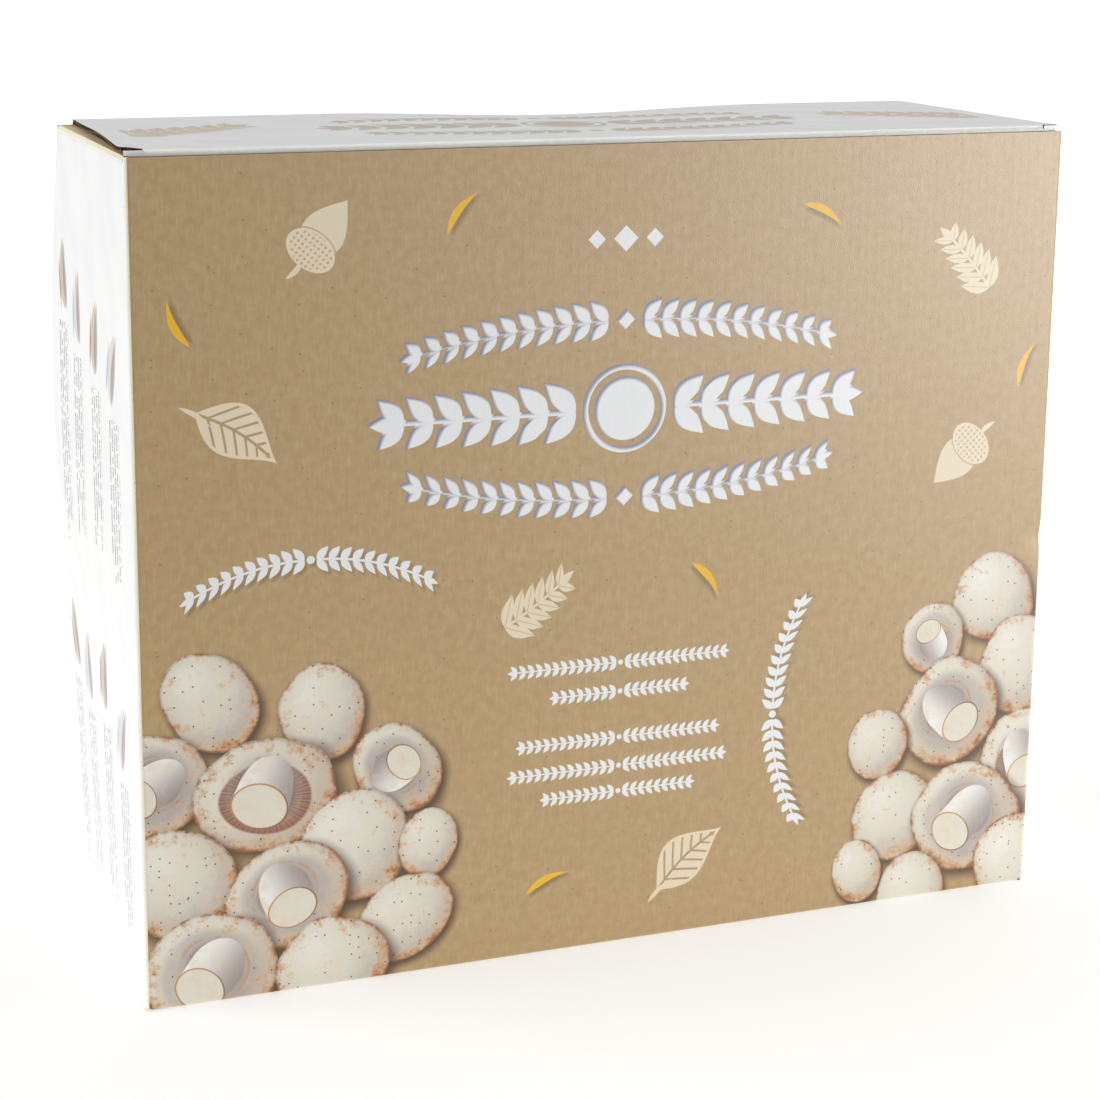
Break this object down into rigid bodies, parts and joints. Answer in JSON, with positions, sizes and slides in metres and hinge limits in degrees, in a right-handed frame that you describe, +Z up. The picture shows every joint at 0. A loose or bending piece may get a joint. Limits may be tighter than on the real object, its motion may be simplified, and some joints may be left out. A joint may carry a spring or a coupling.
{
  "type": "closed printed cardboard carton of a mushroom growing kit",
  "caption": "Upright folding carton of thin corrugated board with a hinged lid, tuck flap and dust flaps, printed on kraft, standing on its glued bottom.",
  "frame": {"origin": "middle of the footprint, on the surface that the carton stands on", "axes": "+X along the wide front, to the right as seen from the front; +Y from the front to the back; +Z up"},
  "size_m": [0.3285, 0.113, 0.2719],
  "materials": {
    "kraft_print": "matte printed kraft",
    "white_print": "satin printed white",
    "raw_board": "matte bare board"
  },
  "bodies": {
    "carton": {"front_wall": "kraft_print", "back_wall": "white_print", "left_wall": "white_print", "right_wall": "white_print", "glue_flap": "raw_board", "bottom_panel": "white_print", "bottom_flap_left": "raw_board", "bottom_flap_right": "raw_board", "dust_flap_left": "raw_board", "dust_flap_right": "raw_board"},
    "lid": {"lid_panel": "white_print", "tuck_flap": "white_print"}
  },
  "joints": [
    {"name": "lid_hinge", "type": "hinge", "parent": "carton", "child": "lid", "pos_m": [0, 0.05515, 0.27015], "axis": [-1, 0, 0], "range_deg": [0, 180]}
  ]
}
